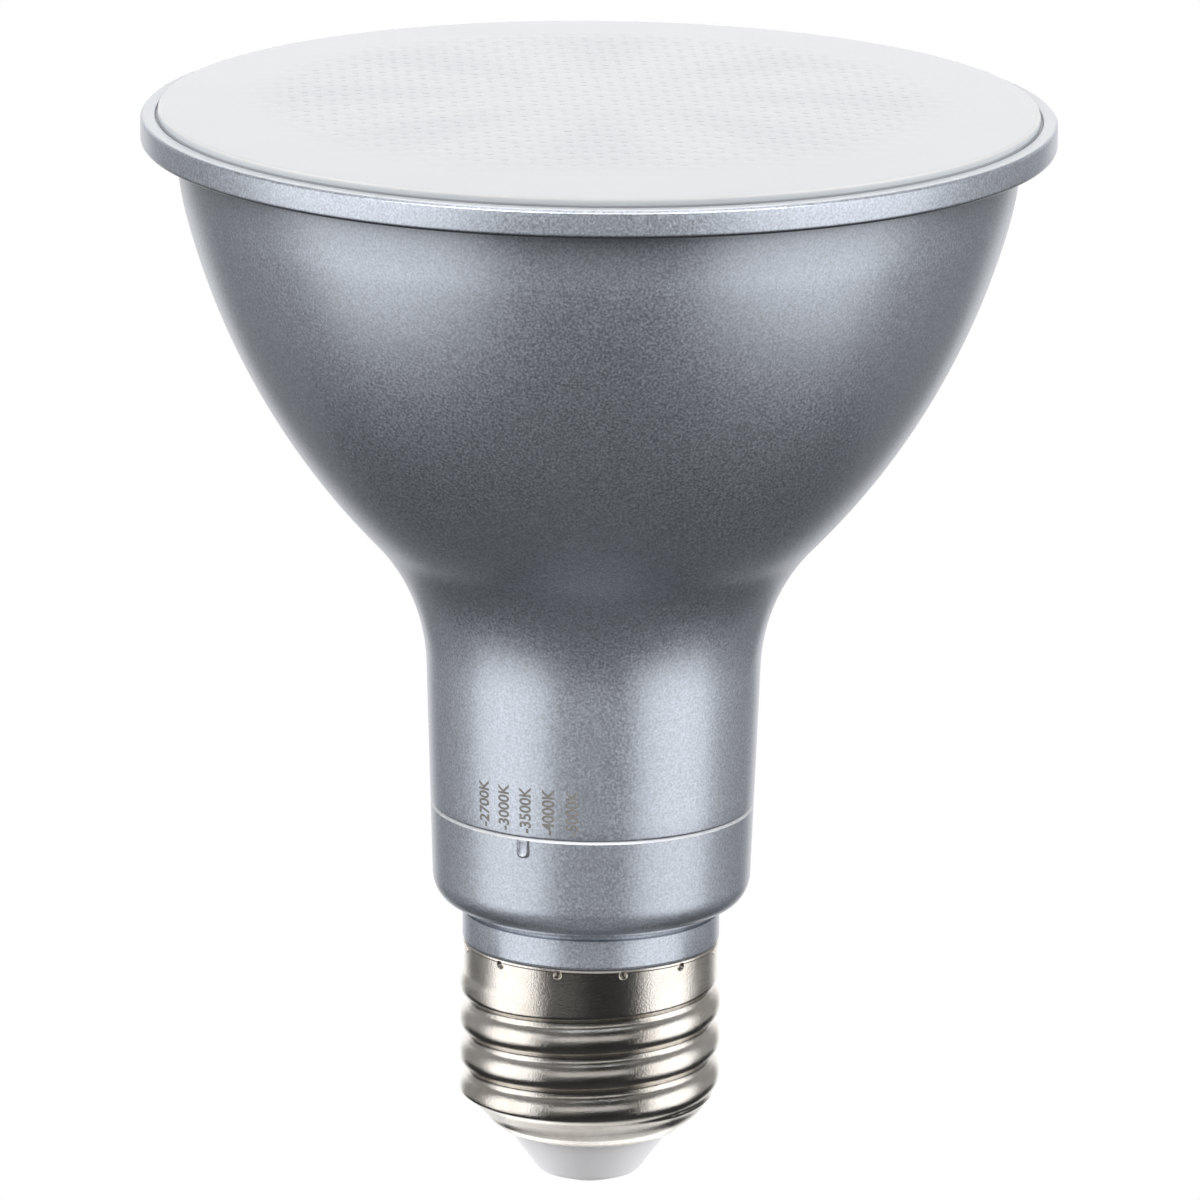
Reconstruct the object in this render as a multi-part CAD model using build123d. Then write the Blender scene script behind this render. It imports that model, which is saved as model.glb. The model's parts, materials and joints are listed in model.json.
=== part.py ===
from build123d import *
import os
from math import acos, asin, atan, ceil, cos, degrees, hypot, pi, radians, sin, sqrt, tan

# Long-neck reflector lamp with light-emitting diodes, a screw base and a turning colour ring.
# Millimetres. The axis of the lamp is Z, the centre contact touches Z = 0 and the lens looks up.
# The front of the lamp, where the colour scale is, faces -Y.

# Fits and clearances
slip_fit = 0.05
running_fit = 0.10
loose_fit = 0.30
seam_gap = 0.15

# Centre contact and its rivet
contact_radius = 3.2
contact_proud = 0.55
contact_edge = 0.25
rivet_radius = 1.1
rivet_head_radius = 2.0
rivet_head_height = 0.6

# Insulator
insulator_tip_radius = 4.9
insulator_edge = 1.3
insulator_height = 4.95
insulator_floor = 1.8
insulator_wall = 1.6
insulator_flange_height = 2.4

# Screw cap, a medium screw base rolled from sheet
cap_sheet = 0.35
cap_mouth_radius = 8.6
cap_cone_height = 3.1
cap_height = 19.3
thread_crest_radius = 13.05
thread_depth = 0.85
thread_pitch = 3.63
thread_land = 0.04
thread_start_angle = 41.0
thread_crest_share = 0.76
skirt_step = 0.46
skirt_height = 3.9
crimp_count = 12
crimp_radius = 0.40
crimp_depth = 0.36
crimp_drop = 0.60

# Base holder
collar_step = 0.15
collar_height = 3.05
collar_edge = 0.4
shadow_groove_depth = 0.55
shadow_groove_height = 0.75
spigot_length = 11.0
spigot_wall = 1.2
stem_step = 0.10
stem_wall = 1.75
plug_length = 7.0
guide_depth = 0.5

# Selector ring
ring_height = 10.55
ring_wall = 3.08
ring_taper = 2.0
ring_corner = 3.0
ring_lip_height = 0.4
ring_lip_width = 0.35
ring_chamfer = 0.25
bead_depth = 0.35
bead_height = 1.3
bead_rise = 4.0
lug_rise = 7.4
lug_height = 1.4
lug_reach = 2.6
lug_angle = 11.0
pointer_width = 1.0
pointer_length = 1.6
pointer_proud = 0.3
pointer_angle = -114.8
scale_step = 8.7
scale_marks = 5

# Housing
rim_radius = 45.0
rim_height = 2.8
rim_overhang = 3.55
rim_chamfer = 0.3
rim_lower_edge = 0.3
shell_wall = 1.6
neck_taper = 2.0
neck_length = 14.0
blend_radius = 19.8
bell_curve_radius = 74.5
shoulder_radius = 27.3
shoulder_angle = 14.6

# Front lens
lens_gap = 0.25
lens_land = 1.15
lens_seat_depth = 1.6
lens_proud = 0.8
lens_crown = 1.2
lens_edge = 0.5
lens_thickness = 1.8
lens_border = 2.4

# Light source
dish_depth = 27.0
dish_floor = 2.0
dish_sheet = 1.2
dish_rim_height = 8.0
board_thickness = 1.6
board_margin = 0.6
wire_hole_radius = 3.5
chip_count = 8
chip_size = 3.5
chip_height = 0.8
chip_inset = 4.5
cup_wall = 1.0
cup_base_radius = 3.2
reflector_plate = 1.2
reflector_gap = 1.5
screw_count = 3
screw_ring_radius = 11.0
screw_radius = 1.45
screw_head_radius = 2.7
screw_head_height = 1.7
screw_socket_radius = 1.2
screw_socket_depth = 0.9
connector_length = 9.0
connector_width = 6.5
connector_height = 4.0

# Driver
driver_offset = -1.0
driver_thickness = 1.6
driver_margin = 2.0
part_gap = 1.0
rectifier_size = (2.2, 6.0, 5.0)
selector_board_thickness = 1.0
selector_board_half_width = 8.0
wiper_sheet = 0.25
wiper_width = 2.4
wiper_step = 0.65
output_capacitor_radius = 4.6
output_capacitor_length = 14.0
driver_chip_size = (1.6, 4.0, 5.0)
choke_radius = 3.6
choke_core_radius = 2.4
choke_flange = 1.0
choke_length = 9.0
fuse_radius = 1.6
fuse_length = 9.0
fuse_side = 5.0
input_capacitor_size = (5.5, 10.0, 7.0)
transformer_size = (9.0, 13.0, 13.0)
transformer_coil_radius = 5.4
transformer_yoke = 2.6
lead_radius = 0.6
lead_bend = 2.0
lead_side = 5.0
led_lead_spread = 1.8

# Heights of the main stations, from the contact up
z_insulator = contact_proud
z_mouth = z_insulator + insulator_height
z_cone_top = z_mouth + cap_cone_height
z_cap_rim = z_mouth + cap_height
z_skirt = z_cap_rim - skirt_height
z_collar_top = z_cap_rim + collar_height
z_ring_low = z_collar_top + shadow_groove_height - running_fit * 2
z_ring_top = z_ring_low + ring_height
z_seam = z_ring_top + seam_gap
z_plug_top = z_seam + plug_length
z_blend = z_seam + neck_length

# Radii of the base, the ring and the neck, each from the one inside it
thread_root_radius = thread_crest_radius - thread_depth
cap_core_radius = thread_root_radius + thread_land
skirt_radius = cap_core_radius + skirt_step
collar_radius = skirt_radius + collar_step
stem_radius = collar_radius + stem_step
stem_inner_radius = stem_radius - stem_wall
ring_bore = stem_radius + running_fit
neck_radius = ring_bore + ring_wall
spigot_radius = cap_core_radius - cap_sheet - loose_fit
spigot_bore = spigot_radius - spigot_wall

# Outline of the bell: three arcs that meet smoothly, on top of a tapered neck
taper = radians(neck_taper)
shoulder = radians(shoulder_angle)
bell_radius = rim_radius - rim_overhang
neck_top_radius = neck_radius + neck_length * tan(taper)
blend_center = (neck_top_radius + blend_radius * cos(taper), z_blend - blend_radius * sin(taper))
arc_span = bell_curve_radius + blend_radius
arc_step = bell_curve_radius - shoulder_radius
steep_cosine = (blend_center[0] + arc_step * cos(shoulder) - bell_radius + shoulder_radius) / arc_span
steep = acos(steep_cosine)
bell_center = (blend_center[0] - arc_span * cos(steep), blend_center[1] + arc_span * sin(steep))
shoulder_center = (bell_center[0] + arc_step * cos(shoulder), bell_center[1] - arc_step * sin(shoulder))

# Heights of the rim, the lens and the light source
z_flange = shoulder_center[1]
z_rim_top = z_flange + rim_height
z_ledge = z_rim_top - lens_seat_depth
z_lens_edge = z_rim_top + lens_proud
z_floor = z_ledge - dish_depth
z_board = z_floor + board_thickness
z_reflector_top = z_ledge - reflector_gap

# The lens, the plug and the ring's turn
lens_radius = rim_radius - rim_chamfer - lens_land - lens_gap
plug_radius = neck_radius - shell_wall / cos(taper) - slip_fit
turn_range = scale_step * (scale_marks - 1) / 2
to_selector = Rot(0, 0, pointer_angle)


def outline(points):
    """Closed flat outline from (radius, height) points; a third number rounds that corner."""
    sketch = make_face(Polyline(*[point[:2] for point in points], close=True))
    for point in points:
        if len(point) == 3:
            corner = sketch.vertices().sort_by_distance((point[0], point[1], 0))[0]
            sketch = fillet(corner, point[2])
    return sketch


def turned(sketch, angle=360.0):
    """Solid turned about the lamp's axis from an outline; a part turn is centred on +X."""
    return Rot(0, 0, -angle / 2) * revolve(Plane.XZ * sketch, Axis.Z, angle)


def drum(radius, low, high):
    """Cylinder on the lamp's axis between two heights."""
    return Pos(0, 0, (low + high) / 2) * Cylinder(radius, high - low)


def block(near, far):
    """Box between two opposite corners."""
    size = [abs(far[i] - near[i]) for i in range(3)]
    middle = [(far[i] + near[i]) / 2 for i in range(3)]
    return Pos(*middle) * Box(*size)


def around(count, radius, first=0.0):
    """Evenly spaced places on a circle about the axis."""
    return [Rot(0, 0, first + 360 * i / count) * Pos(radius, 0, 0) for i in range(count)]


def bell_solid(inset, low, high):
    """The space inside the bell and neck, drawn in from the outer skin by an inset."""
    top = bell_radius - inset
    low_radius = neck_radius + (low - z_seam) * tan(taper) - inset / cos(taper)
    shoulder_arc = CenterArc(shoulder_center, shoulder_radius - inset, 0, -shoulder_angle)
    bell_arc = CenterArc(bell_center, bell_curve_radius - inset, -shoulder_angle,
                         shoulder_angle - degrees(steep))
    blend_arc = CenterArc(blend_center, blend_radius + inset, 180 - degrees(steep),
                          degrees(steep) - neck_taper)
    skin = [Line((top, high), (top, z_flange)), shoulder_arc, bell_arc, blend_arc]
    skin += [Line(blend_arc @ 1, (low_radius, low)), Line((low_radius, low), (0, low))]
    skin += [Line((0, low), (0, high)), Line((0, high), (top, high))]
    return turned(make_face(skin))


def bell_radius_at(height, inset):
    """Radius of the bell's inset skin at a height on its main arc or its shoulder."""
    joint = shoulder_center[1] - (shoulder_radius - inset) * sin(shoulder)
    center, reach = bell_center, bell_curve_radius - inset
    if height > joint:
        center, reach = shoulder_center, shoulder_radius - inset
    return center[0] + sqrt(reach ** 2 - (height - center[1]) ** 2)


def cap_arc(half_width, edge_height, rise):
    """Arc from the axis out to a dome's edge, with its centre on the axis."""
    sphere = (half_width ** 2 + rise ** 2) / (2 * rise)
    sweep_angle = degrees(asin(half_width / sphere))
    return CenterArc((0, edge_height + rise - sphere), sphere, 90, -sweep_angle)


def make_center_contact():
    """Contact button with a rivet shank that clamps it to the insulator."""
    shank_top = z_insulator + insulator_floor
    head_top = shank_top + rivet_head_height
    return turned(outline([
        (0, 0), (contact_radius - contact_edge, 0), (contact_radius, contact_edge),
        (contact_radius, z_insulator), (rivet_radius, z_insulator), (rivet_radius, shank_top),
        (rivet_head_radius, shank_top), (rivet_head_radius - rivet_head_height / 2, head_top),
        (0, head_top)]))


def cone_slope():
    """How far the cap's lower cone widens for each millimetre of height."""
    sheet_shift = cap_sheet * hypot(cap_cone_height, cap_core_radius - cap_mouth_radius) / cap_cone_height
    mouth_outer = cap_mouth_radius + sheet_shift
    return (cap_core_radius - mouth_outer) / cap_cone_height, mouth_outer


def make_insulator():
    """Tapered white plug, held by its flange inside the cap's lower cone."""
    slope, _ = cone_slope()
    mouth = cap_mouth_radius - slip_fit
    flange_top = z_mouth + insulator_flange_height
    flange_radius = mouth + insulator_flange_height * slope
    floor = z_insulator + insulator_floor
    bore = rivet_radius + slip_fit
    well = rivet_head_radius + loose_fit
    return turned(outline([
        (bore, z_insulator), (insulator_tip_radius, z_insulator, insulator_edge), (mouth, z_mouth),
        (flange_radius, flange_top), (mouth - insulator_wall, flange_top), (well, floor),
        (bore, floor)]))


def thread_section(crest, root, land):
    """Section of one thread ridge: a wide round crest between two narrow round half roots."""
    swing = 2 * atan(2 * (crest - root) / thread_pitch)
    curve = (1 - thread_crest_share) * thread_pitch / 2 / sin(swing)
    core = root + land
    inner = core - cap_sheet / 2
    first = acos(1 - land / curve)
    middle = (first + swing) / 2

    def flank(angle, side):
        return (root + curve - curve * cos(angle), side * (thread_pitch / 2 - curve * sin(angle)))

    edges = [
        Line((inner, flank(first, -1)[1]), flank(first, -1)),
        ThreePointArc(flank(first, -1), flank(middle, -1), flank(swing, -1)),
        ThreePointArc(flank(swing, -1), (crest, 0), flank(swing, 1)),
        ThreePointArc(flank(swing, 1), flank(middle, 1), flank(first, 1)),
        Line(flank(first, 1), (inner, flank(first, 1)[1])),
        Line((inner, flank(first, 1)[1]), (inner, flank(first, -1)[1]))]
    return Plane.XZ * make_face(edges)


def thread_ridge():
    """Helical ridge of the rolled thread, in half turns that run on from each other.

    The first and last half turns run out into the cone below and the skirt above."""
    slope, mouth_outer = cone_slope()
    start = z_cone_top - thread_pitch / 4
    finish = z_skirt + thread_pitch / 4
    count = ceil(2 * (finish - start) / thread_pitch)
    rise = (finish - start) / count
    path = Pos(0, 0, start) * Helix(thread_pitch, rise, thread_root_radius)
    section = Pos(0, 0, start) * thread_section(thread_crest_radius, thread_root_radius, thread_land)
    half_turn = sweep(section, path, is_frenet=True)
    buried = cap_sheet / 4
    clear = thread_crest_radius + buried
    spread = (clear - mouth_outer) / slope
    runout = turned(outline([
        (0, z_mouth), (mouth_outer - buried, z_mouth), (clear, z_mouth + spread + buried),
        (clear, z_skirt - thread_pitch / 3), (skirt_radius - buried, z_skirt),
        (skirt_radius - buried, z_cap_rim), (0, z_cap_rim)]))
    turns = []
    for i in range(count):
        angle = thread_start_angle + 360 * i * rise / thread_pitch
        turns.append((Rot(0, 0, angle) * Pos(0, 0, i * rise) * half_turn) & runout)
    return turns


def make_screw_cap():
    """Nickel screw cap with a rolled thread, a plain skirt and a ring of punched crimps."""
    slope, mouth_outer = cone_slope()
    step = skirt_radius - cap_core_radius
    inner_core = cap_core_radius - cap_sheet
    inner_skirt = skirt_radius - cap_sheet
    inner_cone_top = z_mouth + (inner_core - cap_mouth_radius) / slope
    over = z_cap_rim + cap_sheet
    outside = turned(outline([
        (0, z_mouth), (mouth_outer, z_mouth), (cap_core_radius, z_cone_top),
        (cap_core_radius, z_skirt - step), (skirt_radius, z_skirt), (skirt_radius, z_cap_rim),
        (0, z_cap_rim)]))
    under = z_mouth - cap_sheet
    inside = turned(outline([
        (0, under), (cap_mouth_radius, under), (cap_mouth_radius, z_mouth),
        (inner_core, inner_cone_top), (inner_core, z_skirt - step + cap_sheet),
        (inner_skirt, z_skirt + cap_sheet), (inner_skirt, over), (0, over)]))
    cap = outside
    for half_turn in thread_ridge():
        cap += half_turn
    cap -= inside
    for place in around(crimp_count, skirt_radius, 360 / crimp_count / 2):
        turn = place * Pos(0, 0, z_cap_rim - crimp_drop) * Rot(0, -90, 0)
        cap += turn * crimp_cone(cap_sheet)
    for place in around(crimp_count, skirt_radius, 360 / crimp_count / 2):
        turn = place * Pos(0, 0, z_cap_rim - crimp_drop) * Rot(0, -90, 0)
        cap -= turn * crimp_cone(0.0)
    return cap


def crimp_cone(grow):
    """Punch mark that points inwards from the skirt; grow gives its far side or its pocket."""
    depth = crimp_depth + grow
    start = grow / 2
    return Pos(0, 0, start + (depth - start) / 2) * Cone(
        crimp_radius + grow / 2, crimp_radius / 4 + grow / 2, depth - start)


def make_base_holder():
    """Moulded holder: spigot in the cap, collar, stem that carries the ring, plug in the neck."""
    skirt_fit = skirt_radius - cap_sheet - slip_fit
    spigot_low = z_cap_rim - spigot_length
    shoulder_low = z_skirt + cap_sheet + loose_fit
    groove_radius = collar_radius - shadow_groove_depth
    stem_low = z_collar_top + shadow_groove_height
    ledge = z_cap_rim + part_gap
    holder = turned(outline([
        (spigot_bore, spigot_low), (spigot_radius, spigot_low), (spigot_radius, shoulder_low),
        (skirt_fit, shoulder_low), (skirt_fit, z_cap_rim), (collar_radius, z_cap_rim, collar_edge),
        (collar_radius, z_collar_top), (groove_radius, z_collar_top), (groove_radius, stem_low),
        (stem_radius, stem_low), (stem_radius, z_seam), (plug_radius, z_seam),
        (plug_radius, z_plug_top), (stem_inner_radius, z_plug_top), (stem_inner_radius, ledge),
        (spigot_bore, ledge)]))
    bead_low = z_ring_low + bead_rise - seam_gap
    bead_high = z_ring_low + bead_rise + bead_height + seam_gap
    bead_floor = ring_bore - bead_depth - running_fit
    holder -= turned(outline([
        (bead_floor, bead_low), (plug_radius, bead_low), (plug_radius, bead_high),
        (bead_floor, bead_high)]))
    slot_low = z_ring_low + lug_rise - loose_fit
    slot_high = z_ring_low + lug_rise + lug_height + loose_fit
    stop_angle = degrees(loose_fit / stem_radius)
    slot_angle = 2 * turn_range + lug_angle + 2 * stop_angle
    slot = turned(outline([
        (stem_inner_radius / 2, slot_low), (plug_radius, slot_low), (plug_radius, slot_high),
        (stem_inner_radius / 2, slot_high)]), slot_angle)
    guide = block((driver_offset - driver_thickness / 2 - slip_fit, -guide_reach(), ledge),
                  (driver_offset + driver_thickness / 2 + slip_fit, guide_reach(), z_plug_top))
    holder = to_selector * (holder - slot - guide)
    for place in around(crimp_count, skirt_radius, 360 / crimp_count / 2):
        turn = place * Pos(0, 0, z_cap_rim - crimp_drop) * Rot(0, -90, 0)
        holder -= turn * crimp_cone(cap_sheet + 2 * slip_fit)
    return holder


def guide_reach():
    """Half width of the slots in the stem that hold the driver board's edges."""
    return stem_inner_radius + guide_depth


def ring_radius_at(height):
    """Outer radius of the selector ring at a height, in line with the neck above it."""
    return neck_radius - (z_seam - height) * tan(radians(ring_taper))


def make_selector_ring():
    """Turning ring with a pointer rib outside, and inside a snap bead and a switch lug."""
    lip_radius = ring_bore + ring_lip_width
    lip_top = z_ring_low + ring_lip_height
    corner_top = lip_top + ring_corner
    corner_radius = ring_radius_at(corner_top)
    corner_arc = EllipticalCenterArc((lip_radius, corner_top), corner_radius - lip_radius, ring_corner,
                                     start_angle=-90, arc_size=90)
    top_radius = ring_radius_at(z_ring_top) - ring_chamfer
    chamfer_low = z_ring_top - ring_chamfer
    side_top = (ring_radius_at(chamfer_low), chamfer_low)
    edges = [corner_arc, Line(corner_arc @ 1, side_top), Line(side_top, (top_radius, z_ring_top))]
    edges += [Line((top_radius, z_ring_top), (ring_bore, z_ring_top))]
    edges += [Line((ring_bore, z_ring_top), (ring_bore, z_ring_low))]
    edges += [Line((ring_bore, z_ring_low), (lip_radius, z_ring_low))]
    edges += [Line((lip_radius, z_ring_low), corner_arc @ 0)]
    ring = turned(make_face(edges))
    bead_low = z_ring_low + bead_rise
    inside = ring_bore + ring_lip_width
    ring += turned(outline([
        (ring_bore - bead_depth, bead_low), (inside, bead_low), (inside, bead_low + bead_height),
        (ring_bore - bead_depth, bead_low + bead_height)]))
    lug_low = z_ring_low + lug_rise
    ring += turned(outline([
        (ring_bore - lug_reach, lug_low), (inside, lug_low), (inside, lug_low + lug_height),
        (ring_bore - lug_reach, lug_low + lug_height)]), lug_angle)
    rib_face = ring_radius_at(chamfer_low) + pointer_proud
    rib_root = ring_radius_at(corner_top) - pointer_proud
    rib = SlotOverall(2 * pointer_length, pointer_width, rotation=90)
    rib = extrude(Plane.YZ.offset(rib_root) * Pos(0, chamfer_low) * rib, rib_face - rib_root)
    ring += rib & drum(rim_radius, z_ring_low, chamfer_low)
    return to_selector * ring


def make_wiper_contact():
    """Sprung brass leaf under the ring's lug that sweeps over the selector board."""
    lug_low = z_ring_low + lug_rise
    outer = ring_bore - 2 * running_fit - stem_wall
    bend = ring_bore - lug_reach
    toe = bend - 2 * wiper_step
    tip = toe - 2 * wiper_step
    top = lug_low
    low = top - wiper_sheet - wiper_step
    leaf = make_face(Polyline(
        (outer, top), (bend, top), (toe, low + wiper_sheet), (tip, low + wiper_sheet), (tip, low),
        (toe - wiper_sheet / 2, low), (bend - wiper_sheet / 2, top - wiper_sheet),
        (outer, top - wiper_sheet), close=True))
    return to_selector * extrude(Plane.XZ * leaf, wiper_width / 2, both=True)


def make_housing():
    """Bell-shaped outer shell with a flat rim, open at the lens end and at the neck."""
    reach = z_seam - seam_gap
    rim = turned(outline([
        (0, z_flange), (rim_radius, z_flange, rim_lower_edge), (rim_radius, z_rim_top - rim_chamfer),
        (rim_radius - rim_chamfer, z_rim_top), (0, z_rim_top)]))
    shell = bell_solid(0.0, z_seam, z_ledge) + rim
    shell -= bell_solid(shell_wall, reach, z_ledge)
    return shell - drum(lens_radius + lens_gap, z_ledge, z_rim_top + rim_chamfer)


def make_front_lens():
    """Shallow domed cover that sits on the ledge inside the rim."""
    shoulder_width = lens_radius - lens_edge
    border = bell_radius - shell_wall - lens_border
    dome = cap_arc(shoulder_width, z_lens_edge, lens_crown)
    hollow = cap_arc(border, z_lens_edge - lens_thickness, lens_crown)
    edge_arc = CenterArc((shoulder_width, z_lens_edge - lens_edge), lens_edge, 90, -90)
    edges = [dome, edge_arc, Line(edge_arc @ 1, (lens_radius, z_ledge))]
    edges += [Line((lens_radius, z_ledge), (border, z_ledge)), Line((border, z_ledge), hollow @ 1)]
    edges += [hollow, Line(hollow @ 0, dome @ 0)]
    return turned(make_face(edges))


def dish_radius():
    """Radius inside the dish, just above its floor."""
    return bell_radius_at(z_floor, shell_wall + slip_fit + dish_sheet)


def led_board_radius():
    """Radius of the board on the dish's floor."""
    return dish_radius() - board_margin


def chip_ring_radius():
    """Radius of the circle on which the chips and their cups sit."""
    return led_board_radius() - chip_inset


def screw_places():
    """Places of the screws that hold the board down, between the chips."""
    return around(screw_count, screw_ring_radius, pointer_angle + 90)


def make_heat_dish():
    """Stamped aluminium dish that fits the bell and carries the light source."""
    low = z_floor - dish_floor
    high = z_floor + dish_rim_height
    skin = shell_wall + slip_fit
    dish = bell_solid(skin, z_seam, z_ledge) & drum(rim_radius, low, high)
    dish -= bell_solid(skin + dish_sheet, z_seam, z_ledge) & drum(rim_radius, z_floor, high + dish_floor)
    dish -= drum(wire_hole_radius, low - dish_floor, high)
    for place in screw_places():
        dish -= place * drum(screw_radius + slip_fit, low - dish_floor, high)
    return dish


def make_led_board():
    """Round board on the dish's floor, with a hole for the leads and screw holes."""
    board = drum(led_board_radius(), z_floor, z_board)
    board -= drum(wire_hole_radius, z_floor - board_thickness, z_board + board_thickness)
    for place in screw_places():
        board -= place * drum(screw_radius + loose_fit, z_floor - board_thickness, z_board + board_thickness)
    return board


def make_led_chips():
    """The light-emitting chips, one at the foot of each reflector cup."""
    chip = block((-chip_size / 2, -chip_size / 2, z_board),
                 (chip_size / 2, chip_size / 2, z_board + chip_height))
    return Compound(children=[place * chip for place in around(chip_count, chip_ring_radius(), 90)])


def make_board_screws():
    """Pan-head screws with a round driving socket."""
    low = z_floor - dish_floor
    head_top = z_board + screw_head_height
    screw = drum(screw_radius, low, z_board) + drum(screw_head_radius, z_board, head_top)
    screw -= drum(screw_socket_radius, head_top - screw_socket_depth, head_top + screw_socket_depth)
    return Compound(children=[place * screw for place in screw_places()])


def make_board_connector():
    """Lead connector over the hole in the middle of the board."""
    half_length = max(connector_length / 2, wire_hole_radius + part_gap)
    half_width = connector_width / 2
    connector = block((-half_width, -half_length, z_board),
                      (half_width, half_length, z_board + connector_height))
    recess = connector_height / 2
    for side in (-1, 1):
        pocket = Pos(0, side * led_lead_spread, z_board + connector_height) * Box(
            connector_width / 2, led_lead_spread, recess)
        connector -= pocket
    return to_selector * connector


def make_reflector():
    """White reflector: a plate under the lens with one open cup for each chip."""
    ring = chip_ring_radius()
    plate_radius = bell_radius_at(z_reflector_top, shell_wall) - loose_fit
    neighbour_limit = ring * sin(pi / chip_count) - cup_wall / 2
    edge_limit = plate_radius - ring - 2 * cup_wall
    mouth = min(neighbour_limit, edge_limit)
    height = z_reflector_top - z_board
    middle = (z_reflector_top + z_board) / 2
    plate_low = z_reflector_top - reflector_plate
    reflector = drum(plate_radius, plate_low, z_reflector_top)
    places = around(chip_count, ring, 90)
    outer_cup = Pos(0, 0, middle) * Cone(cup_base_radius + cup_wall, mouth + cup_wall / 2, height)
    inner_cup = Pos(0, 0, middle) * Cone(cup_base_radius, mouth - cup_wall / 2, height)
    for place in places:
        reflector += place * outer_cup
    for place in places:
        reflector -= place * inner_cup
    return reflector


# Driver pieces are placed in a frame whose X points at the pointer; the board stands across it.
board_front = driver_offset + driver_thickness / 2
board_back = driver_offset - driver_thickness / 2
z_driver = z_cap_rim + part_gap
z_parts = z_driver + driver_margin
z_selector_board = z_ring_low + lug_rise - wiper_sheet - wiper_step - running_fit - selector_board_thickness
z_output_capacitor = z_ring_low + lug_rise + lug_height + 2 * part_gap
z_driver_chip = z_output_capacitor + output_capacitor_length + part_gap
z_input_capacitor = z_parts + max(choke_length, fuse_length) + part_gap
z_transformer = max(z_input_capacitor + input_capacitor_size[2], z_plug_top) + part_gap
z_driver_top = max(z_driver_chip + driver_chip_size[2], z_transformer + transformer_size[2]) + driver_margin


def mounted(size, side, low, front):
    """Box-shaped part on the driver board's front or back face."""
    near = board_front if front else board_back
    far = near + size[0] if front else near - size[0]
    return block((near, side - size[1] / 2, low), (far, side + size[1] / 2, low + size[2]))


def make_driver_board():
    """Driver circuit board, upright in the neck with its edges in the stem's guides."""
    half_width = guide_reach() - running_fit
    return to_selector * block((board_back, -half_width, z_driver), (board_front, half_width, z_driver_top))


def make_selector_board():
    """Small switch board under the wiper, standing out from the driver board."""
    reach = stem_inner_radius - loose_fit
    high = z_selector_board + selector_board_thickness
    board = drum(reach, z_selector_board, high)
    board &= block((board_front, -selector_board_half_width, z_selector_board),
                   (reach, selector_board_half_width, high))
    return to_selector * board


def make_choke():
    """Drum-core filter choke."""
    center = board_back - choke_radius - slip_fit
    room = stem_inner_radius - loose_fit - choke_radius
    side = -sqrt(room ** 2 - center ** 2)
    high = z_parts + choke_length
    choke = turned(outline([
        (0, z_parts), (choke_radius, z_parts), (choke_radius, z_parts + choke_flange),
        (choke_core_radius, z_parts + choke_flange), (choke_core_radius, high - choke_flange),
        (choke_radius, high - choke_flange), (choke_radius, high), (0, high)]))
    return to_selector * Pos(center, side, 0) * choke


def make_fuse_resistor():
    """Fusible resistor on the back of the driver board."""
    center = board_back - fuse_radius - slip_fit
    body = fillet(drum(fuse_radius, z_parts, z_parts + fuse_length).edges(), fuse_radius / 3)
    return to_selector * Pos(center, fuse_side, 0) * body


def make_output_capacitor():
    """Can capacitor along the front of the driver board."""
    center = board_front + output_capacitor_radius + slip_fit
    high = z_output_capacitor + output_capacitor_length
    can = drum(output_capacitor_radius, z_output_capacitor, high)
    crimp = output_capacitor_radius / 12
    groove = z_output_capacitor + output_capacitor_radius / 2
    can -= turned(outline([
        (output_capacitor_radius - crimp, groove), (output_capacitor_radius + crimp, groove - 2 * crimp),
        (output_capacitor_radius + crimp, groove + 2 * crimp)]))
    return to_selector * Pos(center, 0, 0) * can


def make_transformer():
    """Transformer: a core with two yokes around a wound bobbin."""
    depth, width, height = transformer_size
    core = mounted(transformer_size, 0, z_transformer, False)
    center = board_back - depth / 2
    high = z_transformer + height
    window = block((board_back - depth * 2, -width / 2 + transformer_yoke, z_transformer + transformer_yoke),
                   (board_back + depth, width / 2 - transformer_yoke, high - transformer_yoke))
    coil_radius = min(transformer_coil_radius, depth / 2 - slip_fit)
    coil = drum(coil_radius, z_transformer + transformer_yoke / 2, high - transformer_yoke / 2)
    return to_selector * (core - window + Pos(center, 0, 0) * coil)


def lead(points):
    """Round insulated lead along straight runs with bent corners."""
    path = FilletPolyline(*points, radius=lead_bend)
    return sweep((path ^ 0) * Circle(lead_radius), path)


def make_live_lead():
    """Lead from the contact's rivet up to the driver board."""
    start = z_insulator + insulator_floor + rivet_head_height
    face = board_front + lead_radius + slip_fit
    third = (z_driver - start) / 3
    return to_selector * lead([(0, 0, start), (0, 0, start + third), (face, lead_side, z_driver - third / 2),
                               (face, lead_side, z_parts)])


def make_neutral_lead():
    """Lead from the driver board down to the wall of the cap, below the holder's spigot."""
    face = board_back - lead_radius - slip_fit
    low = z_cap_rim - spigot_length - 2 * lead_bend
    wall = cap_core_radius - cap_sheet - slip_fit
    across = sqrt(wall ** 2 - (lead_radius - face) ** 2)
    inside = spigot_bore / 2
    high = z_parts - part_gap
    return to_selector * lead([(face, -inside, high), (face, -inside, low), (face, -across, low)])


def make_led_leads():
    """Pair of leads from the top of the driver board to the connector."""
    center = board_front + lead_radius + slip_fit
    low = z_driver_top - driver_margin
    wire = drum(lead_radius, low, z_board)
    wires = [Pos(center, side * led_lead_spread, 0) * wire for side in (-1, 1)]
    return Compound(children=[to_selector * piece for piece in wires])


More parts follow.
